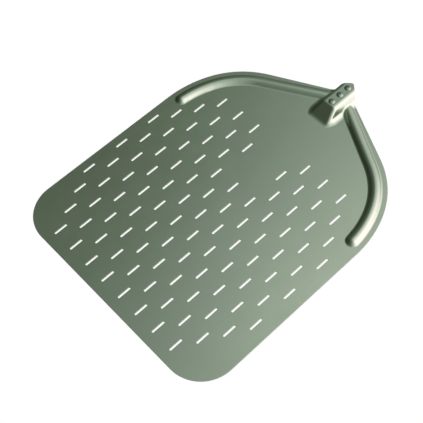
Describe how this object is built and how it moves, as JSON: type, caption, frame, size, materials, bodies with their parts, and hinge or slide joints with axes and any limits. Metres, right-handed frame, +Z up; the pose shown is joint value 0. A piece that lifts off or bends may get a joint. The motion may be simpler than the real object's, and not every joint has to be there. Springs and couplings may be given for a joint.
{
  "type": "pizza peel head",
  "caption": "Flat perforated pizza peel head in pressed aluminium sheet, with edge stiffening ribs and a raised hood riveted over a short handle socket.",
  "frame": {"origin": "under the middle of the head's length and width, on the plane of the blade's flat underside", "axes": "+Z up, +Y towards the handle, +X to the right seen from above with the handle away"},
  "size_m": [0.332, 0.425, 0.0186],
  "materials": {
    "blade_aluminium": "satin anodised, fine blasted grain",
    "socket_aluminium": "plain extruded tube",
    "rivet_steel": "polished rivet head",
    "mandrel_steel": "dark snapped stem"
  },
  "bodies": {
    "root": {"blade": "blade_aluminium", "handle_socket": "socket_aluminium", "rivet_bodies": "rivet_steel", "rivet_mandrels": "mandrel_steel"}
  },
  "joints": []
}
